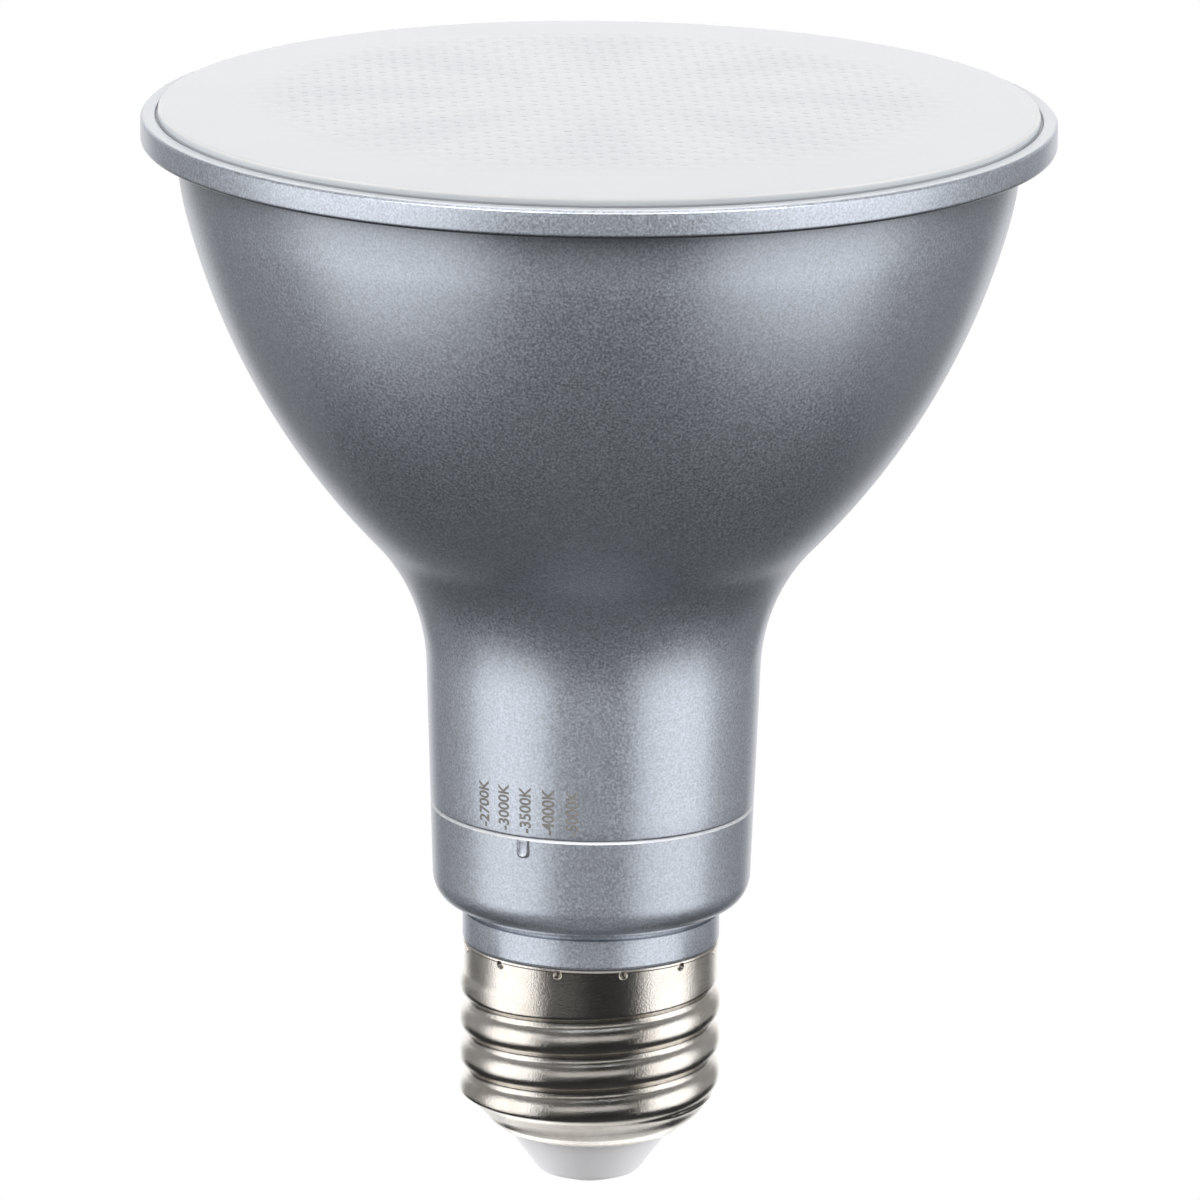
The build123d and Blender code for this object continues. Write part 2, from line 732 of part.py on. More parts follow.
pieces = {
    "center_contact": make_center_contact(),
    "insulator": make_insulator(),
    "screw_cap": make_screw_cap(),
    "base_holder": make_base_holder(),
    "selector_ring": make_selector_ring(),
    "wiper_contact": make_wiper_contact(),
    "housing": make_housing(),
    "front_lens": make_front_lens(),
    "heat_dish": make_heat_dish(),
    "led_board": make_led_board(),
    "led_chips": make_led_chips(),
    "board_screws": make_board_screws(),
    "board_connector": make_board_connector(),
    "reflector": make_reflector(),
    "driver_board": make_driver_board(),
    "selector_board": make_selector_board(),
    "bridge_rectifier": to_selector * mounted(rectifier_size, -lead_side, z_parts, True),
    "driver_chip": to_selector * mounted(driver_chip_size, 0, z_driver_chip, True),
    "input_capacitor": to_selector * mounted(input_capacitor_size, 0, z_input_capacitor, False),
    "output_capacitor": make_output_capacitor(),
    "filter_choke": make_choke(),
    "fuse_resistor": make_fuse_resistor(),
    "transformer": make_transformer(),
    "live_lead": make_live_lead(),
    "neutral_lead": make_neutral_lead(),
    "led_leads": make_led_leads(),
}

os.makedirs("parts", exist_ok=True)
for name, piece in pieces.items():
    export_step(piece, os.path.join("parts", name + ".step"))
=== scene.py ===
import json
import math

import bmesh
import bpy
from mathutils import Matrix, Quaternion, Vector


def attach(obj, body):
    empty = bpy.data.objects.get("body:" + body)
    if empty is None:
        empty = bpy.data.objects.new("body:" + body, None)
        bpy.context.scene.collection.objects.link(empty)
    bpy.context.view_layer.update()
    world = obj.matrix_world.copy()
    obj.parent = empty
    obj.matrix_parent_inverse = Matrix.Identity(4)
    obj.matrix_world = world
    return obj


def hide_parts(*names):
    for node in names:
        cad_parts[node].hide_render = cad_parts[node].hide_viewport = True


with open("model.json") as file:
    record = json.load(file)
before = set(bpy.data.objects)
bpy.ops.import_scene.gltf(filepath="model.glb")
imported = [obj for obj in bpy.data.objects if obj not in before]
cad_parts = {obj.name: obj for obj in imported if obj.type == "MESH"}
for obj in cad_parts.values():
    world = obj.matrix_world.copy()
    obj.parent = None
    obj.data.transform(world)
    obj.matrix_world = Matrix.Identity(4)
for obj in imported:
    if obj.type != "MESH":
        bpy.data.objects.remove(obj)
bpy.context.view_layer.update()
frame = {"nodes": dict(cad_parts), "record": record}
nodes = frame["nodes"]
scene = bpy.context.scene
MM = 0.001

# Sizes of the lamp in millimetres and degrees, as in the solids; z is a height above the contact
z_mouth, z_cone_top, z_skirt, z_cap_rim = 5.5, 8.6, 20.9, 24.8
z_ring_low, z_ring_top, z_seam, z_blend = 28.4, 38.95, 39.1, 53.1
neck_radius, neck_taper = 16.13, 2.0
rim_radius, rim_height, rim_chamfer = 45.0, 2.8, 0.3
bell_radius, shell_wall = 41.45, 1.6
blend_radius, bell_curve, shoulder_curve, shoulder_angle = 19.8, 74.5, 27.3, 14.6
recess_radius, recess_depth = 43.55, 1.6
lens_radius, lens_edge, lens_crown, lens_proud = 43.3, 0.5, 1.2, 0.8
lens_bore, lens_floor, lens_floor_edge, cup_count = 37.45, 0.6, 1.8, 8
ring_bore, ring_lip, ring_lip_height, ring_corner, ring_chamfer = 13.05, 13.4, 0.4, 3.0, 0.25
pointer_angle, rib_depth, rib_corner = -114.8, 0.8, 0.45
core_radius, skirt_radius, cap_sheet, cap_mouth = 12.24, 12.7, 0.35, 8.6
crest_radius, root_radius, crest_share = 13.05, 12.2, 0.76
pitch, thread_start, thread_angle = 3.63, 7.6925, 41.0
z_plug_low, z_plug_floor, z_plug_top = 0.55, 2.35, 7.9
rivet_radius, plug_radius, plug_top_radius, plug_round = 1.15, 4.9, 8.55, 1.3
plug_brim_radius, plug_inside, plug_floor_radius = 10.95, 6.95, 2.3

# Softer edges and finer forms than the solids have
rim_corner, rim_round, seam_round, edge_round = 0.55, 0.15, 0.14, 0.1
pillow_pitch, pillow_field, pillow_rise, pillow_fade = 2.62, 37.5, 0.105, 7.0
pillow_lift, pillow_sink, pillow_root, pillow_turn = 0.04, 0.02, 0.3, 3
wall_blend, thread_blend, sunk_blend, step_height = 0.08, 0.06, 0.005, 0.46
ridge_rise, ridge_start, ridge_fade = 0.36, 0.1, 0.9
sink_start, sink_fade, crest_room = 1.0, 0.7, 0.09
cap_lip_height, cap_lip_rise, cap_lip_bend, cap_lip_fall = 0.36, 0.13, 0.16, 0.3
crimp_count, crimp_drop, crimp_reach, crimp_depth = 12, 0.56, 0.46, 0.46
scale_step, mark_turn, mark_gap, mark_length, mark_height = 8.5, 0.75, 0.4, 4.75, 1.2
ink_face, ink_root = 0.012, -0.026

# The bell's three arcs
taper, shoulder = math.radians(neck_taper), math.radians(shoulder_angle)
neck_top = neck_radius + (z_blend - z_seam) * math.tan(taper)
blend_center = Vector((neck_top + blend_radius * math.cos(taper), z_blend - blend_radius * math.sin(taper)))
arc_span, arc_step = bell_curve + blend_radius, bell_curve - shoulder_curve
arc_run = blend_center.x + arc_step * math.cos(shoulder) - bell_radius + shoulder_curve
steep = math.acos(arc_run / arc_span)
bell_center = blend_center + arc_span * Vector((-math.cos(steep), math.sin(steep)))
shoulder_center = bell_center + arc_step * Vector((math.cos(shoulder), -math.sin(shoulder)))
z_flange = shoulder_center.y
z_rim_top = z_flange + rim_height
z_ledge = z_rim_top - recess_depth
z_lens_edge = z_rim_top + lens_proud


class HalfSection:
    """Half section of a turned piece, drawn with X as the radius and Z as the height."""

    def __init__(self, radius, height):
        self.bm = bmesh.new()
        self.first = self.tip = self.bm.verts.new((radius * MM, 0, height * MM))

    def to(self, radius, height, parts=1):
        """Runs straight on to a point, in equal parts."""
        start, end = self.tip.co.copy(), Vector((radius * MM, 0, height * MM))
        for part in range(1, parts + 1):
            self.tip = bmesh.ops.extrude_vert_indiv(self.bm, verts=[self.tip])["verts"][0]
            self.tip.co = start.lerp(end, part / parts)
        return self

    def arc(self, center, angle, steps, squeeze=1.0):
        """Turns on about a centre, and squeezes the arc towards the centre's radius."""
        before = set(self.bm.verts)
        turned = bmesh.ops.spin(self.bm, geom=[self.tip], cent=(center[0] * MM, 0, center[1] * MM),
                                axis=(0, -1, 0), dvec=(0, 0, 0), angle=math.radians(angle), steps=steps,
                                use_merge=False, use_normal_flip=False, use_duplicate=False)
        self.tip = [v for v in turned["geom_last"] if isinstance(v, bmesh.types.BMVert)][0]
        for v in set(self.bm.verts) - before:
            v.co.x = center[0] * MM + (v.co.x - center[0] * MM) * squeeze
        return self

    def rounded(self, corner, beyond, size, steps=5):
        """Runs to a corner and rounds it towards the point beyond it."""
        here, corner, beyond = Vector((self.tip.co.x, self.tip.co.z)) / MM, Vector(corner), Vector(beyond)
        inward, onward = (corner - here).normalized(), (beyond - corner).normalized()
        turn = math.atan2(inward.x * onward.y - inward.y * onward.x, inward.dot(onward))
        start = corner - inward * size * math.tan(abs(turn) / 2)
        side = Vector((-inward.y, inward.x)) * math.copysign(size, turn)
        return self.to(*start).arc(start + side, math.degrees(turn), steps)

    def close(self):
        self.bm.edges.new((self.tip, self.first))
        return self

    def spun(self, steps=192):
        """The whole solid, turned about the lamp's axis."""
        bm = self.bm
        bmesh.ops.spin(bm, geom=bm.verts[:] + bm.edges[:], cent=(0, 0, 0), axis=(0, 0, 1), dvec=(0, 0, 0),
                       angle=math.tau, steps=steps, use_merge=True, use_normal_flip=False,
                       use_duplicate=False)
        bmesh.ops.remove_doubles(bm, verts=bm.verts[:], dist=1e-6)
        bmesh.ops.recalc_face_normals(bm, faces=bm.faces[:])
        return bm


def soften(bm, limit=32):
    """Smooth faces, with the crisp edges kept crisp."""
    for face in bm.faces:
        face.smooth = True
    for edge in bm.edges:
        if len(edge.link_faces) == 2 and edge.calc_face_angle(0) > math.radians(limit):
            edge.smooth = False


def finished(name, bm, material, body, slot, *stands_for):
    """Makes the mesh a piece of the lamp that rides on a body."""
    soften(bm)
    mesh = bpy.data.meshes.new(name)
    bm.to_mesh(mesh)
    bm.free()
    mesh.materials.append(material)
    piece = bpy.data.objects.new(name, mesh)
    scene.collection.objects.link(piece)
    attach(piece, body)
    if stands_for:
        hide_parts(*stands_for)
    return piece


# Finishes

class NodeTree:
    """A node tree, with short ways to add and join nodes."""

    def __init__(self, tree, coordinates):
        self.tree = tree
        self.place = self.add("ShaderNodeTexCoord").outputs[coordinates]

    def add(self, kind, **settings):
        node = self.tree.nodes.new(kind)
        for key, value in settings.items():
            setattr(node, key, value)
        return node

    def join(self, source, target):
        self.tree.links.new(source, target)

    def fill(self, sockets, values):
        """Sets each socket to its number or colour, or joins another socket to it."""
        for socket, value in zip(sockets, values):
            if isinstance(value, (int, float)):
                socket.default_value = value
            elif isinstance(value, tuple):
                socket.default_value = (*value, 1)
            else:
                self.join(value, socket)

    def axes(self):
        """The place's three coordinates."""
        node = self.add("ShaderNodeSeparateXYZ")
        self.join(self.place, node.inputs[0])
        return node.outputs

    def noise(self, scale, detail=3.0, rough=0.5, stretch=None):
        node = self.add("ShaderNodeTexNoise")
        node.inputs["Scale"].default_value = scale
        node.inputs["Detail"].default_value = detail
        node.inputs["Roughness"].default_value = rough
        place = self.place
        if stretch:
            mapping = self.add("ShaderNodeMapping")
            mapping.inputs["Scale"].default_value = stretch
            self.join(place, mapping.inputs["Vector"])
            place = mapping.outputs["Vector"]
        self.join(place, node.inputs["Vector"])
        return node.outputs["Fac"]

    def math(self, operation, *values):
        """A sum of numbers or sockets."""
        node = self.add("ShaderNodeMath", operation=operation)
        self.fill(node.inputs, values)
        return node.outputs[0]

    def range(self, value, low, high, to_low, to_high):
        """A smooth step from one level to another while the value goes from low to high."""
        node = self.add("ShaderNodeMapRange", interpolation_type="SMOOTHSTEP")
        sockets = [node.inputs[key] for key in ("Value", "From Min", "From Max", "To Min", "To Max")]
        self.fill(sockets, (value, low, high, to_low, to_high))
        return node.outputs["Result"]

    def ramp(self, value, *stops):
        """Colours by value, each stop with its place and its colour."""
        node = self.add("ShaderNodeValToRGB")
        while len(node.color_ramp.elements) < len(stops):
            node.color_ramp.elements.new(0.5)
        for element, (position, color) in zip(node.color_ramp.elements, stops):
            element.position = position
            element.color = (*color, 1)
        self.join(value, node.inputs["Fac"])
        return node.outputs["Color"]

    def mix(self, factor, first, second, blend="MIX"):
        node = self.add("ShaderNodeMix", data_type="RGBA", blend_type=blend)
        self.fill((node.inputs[0], node.inputs[6], node.inputs[7]), (factor, first, second))
        return node.outputs[2]

    def mix_levels(self, factor, first, second):
        node = self.add("ShaderNodeMix")
        self.fill((node.inputs[0], node.inputs[2], node.inputs[3]), (factor, first, second))
        return node.outputs[0]

    def reach(self, x, y):
        """Distance from the lamp's axis."""
        return self.math("SQRT", self.math("ADD", self.math("MULTIPLY", x, x), self.math("MULTIPLY", y, y)))


class Finish(NodeTree):
    """A material with one main shader."""

    def __init__(self, name):
        self.material = bpy.data.materials.new(name)
        self.material.use_nodes = True
        super().__init__(self.material.node_tree, "Object")
        self.shader = self.tree.nodes["Principled BSDF"]

    def set(self, **values):
        for key, value in values.items():
            self.shader.inputs[key.replace("_", " ")].default_value = value

    def bump(self, height, strength, distance):
        """Fine relief on top of the relief so far."""
        node = self.add("ShaderNodeBump")
        node.inputs["Strength"].default_value = strength
        node.inputs["Distance"].default_value = distance
        self.join(height, node.inputs["Height"])
        if self.shader.inputs["Normal"].is_linked:
            self.join(self.shader.inputs["Normal"].links[0].from_socket, node.inputs["Normal"])
        self.join(node.outputs["Normal"], self.shader.inputs["Normal"])

    def mix_shaders(self, factor, first, second):
        node = self.add("ShaderNodeMixShader")
        self.fill(node.inputs, (factor, first, second))
        return node.outputs[0]

    def color(self, socket):
        self.join(socket, self.shader.inputs["Base Color"])

    def roughness(self, socket):
        self.join(socket, self.shader.inputs["Roughness"])


# Painted shade on the bell under the rim, and a painted dark line along the rim's lower edge: paint
# multipliers from the bell's shoulder up to the fold under the rim, by share of the way
fold_depth, fold_past = 5.5 * MM, 0.5 * MM
under_rim_painted_shade = ((0.0, 1.0), (0.33, 0.85), (0.55, 0.74), (0.69, 0.63), (0.76, 0.46), (0.93, 0.27),
              (0.955, 0.30), (0.985, 1.0))


def silver_paint(name, tint, sheen_height=None, sheen_tint=(0.62, 0.64, 0.665), fold_height=None):
    """Satin metallic paint: fine flakes and a faint orange peel, with a painted highlight (pale, less
    metallic paint) above a height and painted shade under a fold.
    """
    metallic, sheen_blend = 0.86, 0.04 * MM
    paint = Finish(name)
    flakes = paint.noise(4200, 2.0, 0.6)
    drift = paint.noise(55, 3.0)
    dark, light = tuple(0.78 * c for c in tint), tuple(min(1.0, 1.22 * c) for c in tint)
    base = paint.ramp(flakes, (0.34, dark), (0.52, tint), (0.7, light))
    tone = paint.ramp(drift, (0.3, (0.95, 0.955, 0.965)), (0.7, (1.0, 1.0, 1.0)))
    base = paint.mix(1.0, base, tone, "MULTIPLY")
    paint.set(Metallic=metallic, Coat_Weight=0.4, Coat_Roughness=0.22)
    height = paint.axes()["Z"]
    # Painted shade: darker paint below the fold, and a dark line at the rim's lower edge
    if fold_height:
        start = paint.math("SUBTRACT", height, fold_height - fold_depth)
        share = paint.math("DIVIDE", start, fold_depth + fold_past)
        painted_shade = paint.ramp(share, *((place, (level, level, level)) for place, level in under_rim_painted_shade))
        base = paint.mix(1.0, base, painted_shade, "MULTIPLY")
    # Painted highlight: pale, less metallic paint above a height, a little patchy, so that the top edge
    # looks lit
    if sheen_height:
        edge = paint.range(height, sheen_height - sheen_blend, sheen_height + sheen_blend, 0.0, 1.0)
        sheen = paint.math("MULTIPLY", edge, paint.range(paint.noise(900, 3.0), 0.36, 0.56, 0.8, 1.0))
        base = paint.mix(sheen, base, sheen_tint)
        metal = paint.math("MULTIPLY", paint.math("SUBTRACT", 1.0, sheen), metallic)
        paint.join(metal, paint.shader.inputs["Metallic"])
    paint.color(base)
    paint.roughness(paint.range(flakes, 0.3, 0.7, 0.34, 0.45))
    paint.bump(flakes, 0.12, 0.00003)
    paint.bump(paint.noise(900, 2.0), 0.05, 0.00004)
    return paint.material


def bright_nickel():
    """Nickel plate on a rolled cap: warm, bright, with drawn lines round it and faint stains."""
    plate = Finish("bright_nickel")
    lines = plate.noise(160, 4.0, 0.6, (1.0, 1.0, 26.0))
    stain = plate.noise(240, 4.0, 0.6)
    speck = plate.noise(4800, 2.0, 0.7)
    base = plate.ramp(stain, (0.32, (0.76, 0.71, 0.64)), (0.55, (0.85, 0.81, 0.755)),
                      (0.75, (0.88, 0.85, 0.81)))
    tone = plate.ramp(speck, (0.3, (0.93, 0.93, 0.93)), (0.6, (1.0, 1.0, 1.0)))
    plate.color(plate.mix(1.0, base, tone, "MULTIPLY"))
    wear = plate.math("ADD", plate.math("MULTIPLY", lines, 0.03), plate.math("MULTIPLY", stain, 0.06))
    plate.roughness(plate.math("ADD", wear, 0.17))
    plate.bump(lines, 0.02, 0.00003)
    plate.bump(speck, 0.5, 0.00005)
    plate.set(Metallic=1.0)
    return plate.material


def frosted_lens():
    """Milky cover: fine frost, and the soft shade of the eight cups behind it."""
    frost = Finish("frosted_lens")
    x, y, height = frost.axes()
    reach = frost.reach(x, y)
    angle = frost.math("ARCTAN2", y, x)
    petal = frost.math("COSINE", frost.math("MULTIPLY", angle, cup_count))
    petal = frost.range(petal, -0.6, 1.0, 0.0, 1.0)
    inner = frost.range(reach, 6 * MM, 20 * MM, 0.0, 1.0)
    outer = frost.range(reach, 26 * MM, 36 * MM, 1.0, 0.0)
    shade = frost.math("MULTIPLY", petal, frost.math("MULTIPLY", inner, outer))
    grain = frost.noise(2600, 3.0, 0.6)
    cloud = frost.noise(70, 2.0)
    base = frost.mix(shade, (0.715, 0.724, 0.742), (0.683, 0.694, 0.717))
    # Bands by height at the edge: a greyer bend, a blue-grey upright wall, and a painted shadow at the
    # foot, by the seal
    bend, wall, foot = z_lens_edge - 0.03, z_lens_edge - 0.2, z_rim_top + 0.15
    for below, blend, tint in ((bend, 0.08, (0.86, 0.86, 0.85)), (wall, 0.08, (0.80, 0.83, 0.86)),
                               (foot, 0.06, (0.58, 0.60, 0.63))):
        part = frost.range(height, (below - blend) * MM, below * MM, 1.0, 0.0)
        base = frost.mix(part, base, tint)
    tone = frost.ramp(cloud, (0.3, (0.975, 0.98, 0.985)), (0.7, (1.0, 1.0, 1.0)))
    frost.color(frost.mix(1.0, base, tone, "MULTIPLY"))
    frost.roughness(frost.range(grain, 0.3, 0.7, 0.34, 0.42))
    frost.bump(grain, 0.08, 0.00002)
    frost.set(IOR=1.49)
    return frost.material


def white_insulator():
    """Smooth white plug with a faint flow of tone."""
    plug = Finish("white_insulator")
    flow = plug.noise(180, 3.0, 0.55, (1.0, 1.0, 0.4))
    plug.color(plug.ramp(flow, (0.3, (0.885, 0.88, 0.90)), (0.7, (0.90, 0.896, 0.912))))
    plug.roughness(plug.range(flow, 0.3, 0.7, 0.36, 0.42))
    plug.bump(flow, 0.02, 0.00004)
    plug.set(IOR=1.5)
    return plug.material


def seal_painted_shade():
    """Dark grey seal with a soft, uneven surface; its dark grey is painted shade of the gap."""
    seal = Finish("seal_painted_shade")
    drops = seal.noise(1300, 3.0, 0.6)
    seal.color(seal.ramp(drops, (0.3, (0.20, 0.205, 0.215)), (0.7, (0.31, 0.315, 0.325))))
    seal.roughness(seal.range(drops, 0.3, 0.7, 0.25, 0.4))
    seal.bump(drops, 0.15, 0.00004)
    return seal.material


def painted_shade_crease():
    """Painted shade: dark paint for a plate behind the pointer that shows as a dark outline round it."""
    crease = Finish("painted_shade_crease")
    painted_shade = crease.noise(2000, 3.0, 0.6)
    crease.color(crease.ramp(painted_shade, (0.3, (0.10, 0.105, 0.11)), (0.7, (0.18, 0.185, 0.195))))
    crease.roughness(crease.range(painted_shade, 0.3, 0.7, 0.55, 0.7))
    crease.bump(painted_shade, 0.1, 0.00002)
    return crease.material


def scale_ink():
    """Warm grey ink of the colour scale, a little worn."""
    ink = Finish("scale_ink")
    worn = ink.noise(2400, 3.0, 0.6)
    ink.color(ink.ramp(worn, (0.35, (0.16, 0.153, 0.145)), (0.62, (0.225, 0.216, 0.205)),
                       (0.8, (0.32, 0.31, 0.30))))
    ink.roughness(ink.range(worn, 0.3, 0.7, 0.5, 0.65))
    ink.bump(worn, 0.1, 0.00001)
    return ink.material


def inside_finish(slot):
    """Plain finish of a piece inside the lamp, from the record's colour and class."""
    cover = Finish("inside_" + slot["slot"])
    tint = tuple(slot["base_color"][:3])
    metal = slot["class"] in ("aluminium", "brass", "brushed_steel", "chrome")
    grain = cover.noise(1400 if metal else 800, 4.0, 0.6, (1.0, 1.0, 8.0) if metal else None)
    cover.color(cover.ramp(grain, (0.3, tuple(0.85 * c for c in tint)), (0.7, tint)))
    cover.roughness(cover.range(grain, 0.3, 0.7, 0.25 if metal else 0.4, 0.4 if metal else 0.6))
    cover.bump(grain, 0.08, 0.00002)
    cover.set(Metallic=1.0 if metal else 0.0)
    return cover.material


# One silver paint in three tints: the ring's is made darker and the holder's lighter than the shell's, as
# painted shade and painted light. The shell's rim top and the ring's top chamfer get the painted highlight,
# and the shell the painted shade under its rim.
silver = silver_paint("silver_shell", (0.60, 0.642, 0.715), (z_rim_top - 0.1) * MM,
                      fold_height=z_flange * MM)
ring_silver = silver_paint("silver_ring", (0.572, 0.612, 0.682), (z_ring_top - ring_chamfer) * MM,
                           sheen_tint=(0.66, 0.67, 0.68))
holder_silver = silver_paint("silver_holder", (0.64, 0.685, 0.76))
nickel = bright_nickel()
frosted = frosted_lens()
seal_shade_finish = seal_painted_shade()
pointer_shade_grey = painted_shade_crease()
insulator_white = white_insulator()
ink = scale_ink()

slots = {slot["slot"]: slot for slot in frame["record"]["materials"]}
inside = {}
for part in frame["record"]["subparts"]:
    slot_name = part["material_slot"]
    if slot_name not in inside:
        inside[slot_name] = inside_finish(slots[slot_name])
    nodes[part["node"]].data.materials.clear()
    nodes[part["node"]].data.materials.append(inside[slot_name])


# Shell

def housing_shell():
    """Bell, neck and rim, with the ledge for the lens and the hollow inside."""
    bell_sweep, blend_sweep = math.degrees(steep) - shoulder_angle, math.degrees(steep) - neck_taper
    inner_neck = neck_radius - shell_wall / math.cos(taper)
    shell = HalfSection(inner_neck, z_seam)
    shell.rounded((neck_radius, z_seam), (neck_top, z_blend), seam_round)
    shell.to(neck_top, z_blend, 10)
    shell.arc(blend_center, -blend_sweep, 24)
    shell.arc(bell_center, bell_sweep, 48)
    shell.arc(shoulder_center, shoulder_angle, 10)
    shell.rounded((rim_radius, z_flange), (rim_radius, z_rim_top), rim_corner, 8)
    chamfer_end = (rim_radius - rim_chamfer, z_rim_top)
    shell.rounded((rim_radius, z_rim_top - rim_chamfer), chamfer_end, rim_round, 3)
    shell.rounded(chamfer_end, (recess_radius, z_rim_top), rim_round, 3)
    shell.rounded((recess_radius, z_rim_top), (recess_radius, z_ledge), rim_round, 3)
    shell.to(recess_radius, z_ledge)
    shell.to(bell_radius - shell_wall, z_ledge).to(bell_radius - shell_wall, z_flange)
    shell.arc(shoulder_center, -shoulder_angle, 5)
    shell.arc(bell_center, -bell_sweep, 20)
    shell.arc(blend_center, blend_sweep, 12)
    return shell.close().spun()


finished("housing_shell", housing_shell(), silver, "lamp", "shell_silver", "housing")


# Lens

dome_radius = ((lens_radius - lens_edge) ** 2 + lens_crown ** 2) / (2 * lens_crown)
dome_center = z_lens_edge + lens_crown - dome_radius


def dome_height(radius):
    """Height of the lens's face at a radius."""
    return dome_center + math.sqrt(dome_radius ** 2 - radius ** 2)


def lens_cover():
    """Shallow domed cover with a rounded edge."""
    sweep = math.degrees(math.asin((lens_radius - lens_edge) / dome_radius))
    cover = HalfSection(0, z_lens_edge + lens_crown)
    cover.arc((0, dome_center), -sweep, 40)
    cover.arc((lens_radius - lens_edge, z_lens_edge - lens_edge), -90, 8)
    cover.to(lens_radius, z_ledge).to(lens_bore, z_ledge)
    cover.to(lens_bore, z_lens_edge - lens_floor_edge).to(0, z_lens_edge - lens_floor)
    return cover.spun()


def repeat(bm, step, half, shift=None):
    """Repeats the cells so far to both sides, and, where there is a shift, once more between them."""
    if shift:
        copy_to(bm, bm.verts[:] + bm.edges[:] + bm.faces[:], shift)
    first = bm.verts[:] + bm.edges[:] + bm.faces[:]
    for place in range(-half, half + 1):
        if place:
            copy_to(bm, first, step * place)


def copy_to(bm, geom, way):
    """Copies cells and moves the copy."""
    copy = bmesh.ops.duplicate(bm, geom=geom)["geom"]
    bmesh.ops.translate(bm, verts=[v for v in copy if isinstance(v, bmesh.types.BMVert)], vec=way)


def lens_pillows():
    """Honeycomb of small pillow lenses that covers the dome and fades out towards its edge."""
    bm = bmesh.new()
    corner = pillow_pitch / math.sqrt(3)
    bmesh.ops.create_circle(bm, cap_ends=True, cap_tris=True, segments=6, radius=corner)
    bmesh.ops.rotate(bm, verts=bm.verts[:], cent=(0, 0, 0), matrix=Matrix.Rotation(math.pi / 6, 3, "Z"))
    bmesh.ops.subdivide_edges(bm, edges=bm.edges[:], cuts=3, use_grid_fill=True)
    waves = [Vector((math.cos(turn), math.sin(turn))) * math.tau / (corner * 1.5)
             for turn in (math.pi / 6, math.pi / 2, math.pi * 5 / 6)]
    for v in bm.verts:
        v.co.z = (1.5 + sum(math.cos(v.co.xy.dot(wave)) for wave in waves)) / 4.5
    half = math.ceil(pillow_field / pillow_pitch) + 1
    repeat(bm, Vector((pillow_pitch, 0, 0)), half)
    rows = math.ceil(half / math.sqrt(0.75))
    repeat(bm, Vector((0, pillow_pitch * math.sqrt(3), 0)), math.ceil(rows / 2),
           Vector((pillow_pitch / 2, pillow_pitch * math.sqrt(0.75), 0)))
    outside = [f for f in bm.faces if f.calc_center_median().xy.length > pillow_field]
    bmesh.ops.delete(bm, geom=outside, context="FACES")
    bmesh.ops.remove_doubles(bm, verts=bm.verts[:], dist=0.01)
    bmesh.ops.rotate(bm, verts=bm.verts[:], cent=(0, 0, 0),
                     matrix=Matrix.Rotation(math.radians(pillow_turn), 3, "Z"))
    for v in bm.verts:
        reach = v.co.xy.length
        fade = min(1.0, max(0.0, (pillow_field - reach) / pillow_fade))
        v.co.z = dome_height(reach) - pillow_sink + pillow_lift * fade + pillow_rise * fade * v.co.z
    border = [e for e in bm.edges if e.is_boundary]
    sunk = bmesh.ops.extrude_edge_only(bm, edges=border)["geom"]
    for v in sunk:
        if isinstance(v, bmesh.types.BMVert):
            v.co.z = z_lens_edge - pillow_root
    bmesh.ops.edgeloop_fill(bm, edges=[e for e in bm.edges if e.is_boundary])
    bmesh.ops.scale(bm, verts=bm.verts[:], vec=(MM, MM, MM))
    bmesh.ops.recalc_face_normals(bm, faces=bm.faces[:])
    return bm


def lens_seal():
    """Bead of dark seal, coloured with the gap's painted shade, that fills the gap between the lens and the
    rim's recess.
    """
    inner, outer, middle = lens_radius - 0.05, recess_radius + 0.05, recess_radius - 0.05
    seal = HalfSection(inner, z_ledge + 0.1).to(outer, z_ledge + 0.1)
    seal.to(outer, z_rim_top - 0.16).to(middle, z_rim_top - 0.22).to(inner, z_rim_top - 0.2)
    return seal.close().spun()


lens = (finished("lens_cover", lens_cover(), frosted, "lamp", "lens_frosted", "front_lens"),
        finished("lens_pillows", lens_pillows(), frosted, "lamp", "lens_frosted", "front_lens"))
finished("lens_seal", lens_seal(), seal_shade_finish, "lamp", "lens_frosted", "front_lens")


# Selector ring

def ring_radius(height):
    """Radius of the neck's taper, carried on down the ring."""
    return neck_radius - (z_seam - height) * math.tan(taper)


def selector_ring():
    """Turning ring with a rounded lower corner and a fine lip."""
    z_lip_top, z_chamfer = z_ring_low + ring_lip_height, z_ring_top - ring_chamfer
    corner_top = z_lip_top + ring_corner
    ring = HalfSection(ring_lip, z_lip_top)
    ring.arc((ring_lip, corner_top), 90, 20, (ring_radius(corner_top) - ring_lip) / ring_corner)
    ring.to(ring_radius(z_chamfer), z_chamfer, 6)
    top_radius = ring_radius(z_ring_top) - ring_chamfer
    ring.rounded((top_radius, z_ring_top), (ring_bore, z_ring_top), edge_round, 3)
    ring.to(ring_bore, z_ring_top).to(ring_bore, z_ring_low)
    ring.rounded((ring_lip, z_ring_low), (ring_lip, z_lip_top), edge_round, 3)
    bm = ring.close().spun()
    rib = pointer_rib()
    joined = bpy.data.meshes.new("pointer_rib")
    rib.to_mesh(joined)
    rib.free()
    bm.from_mesh(joined)
    bpy.data.meshes.remove(joined)
    return bm


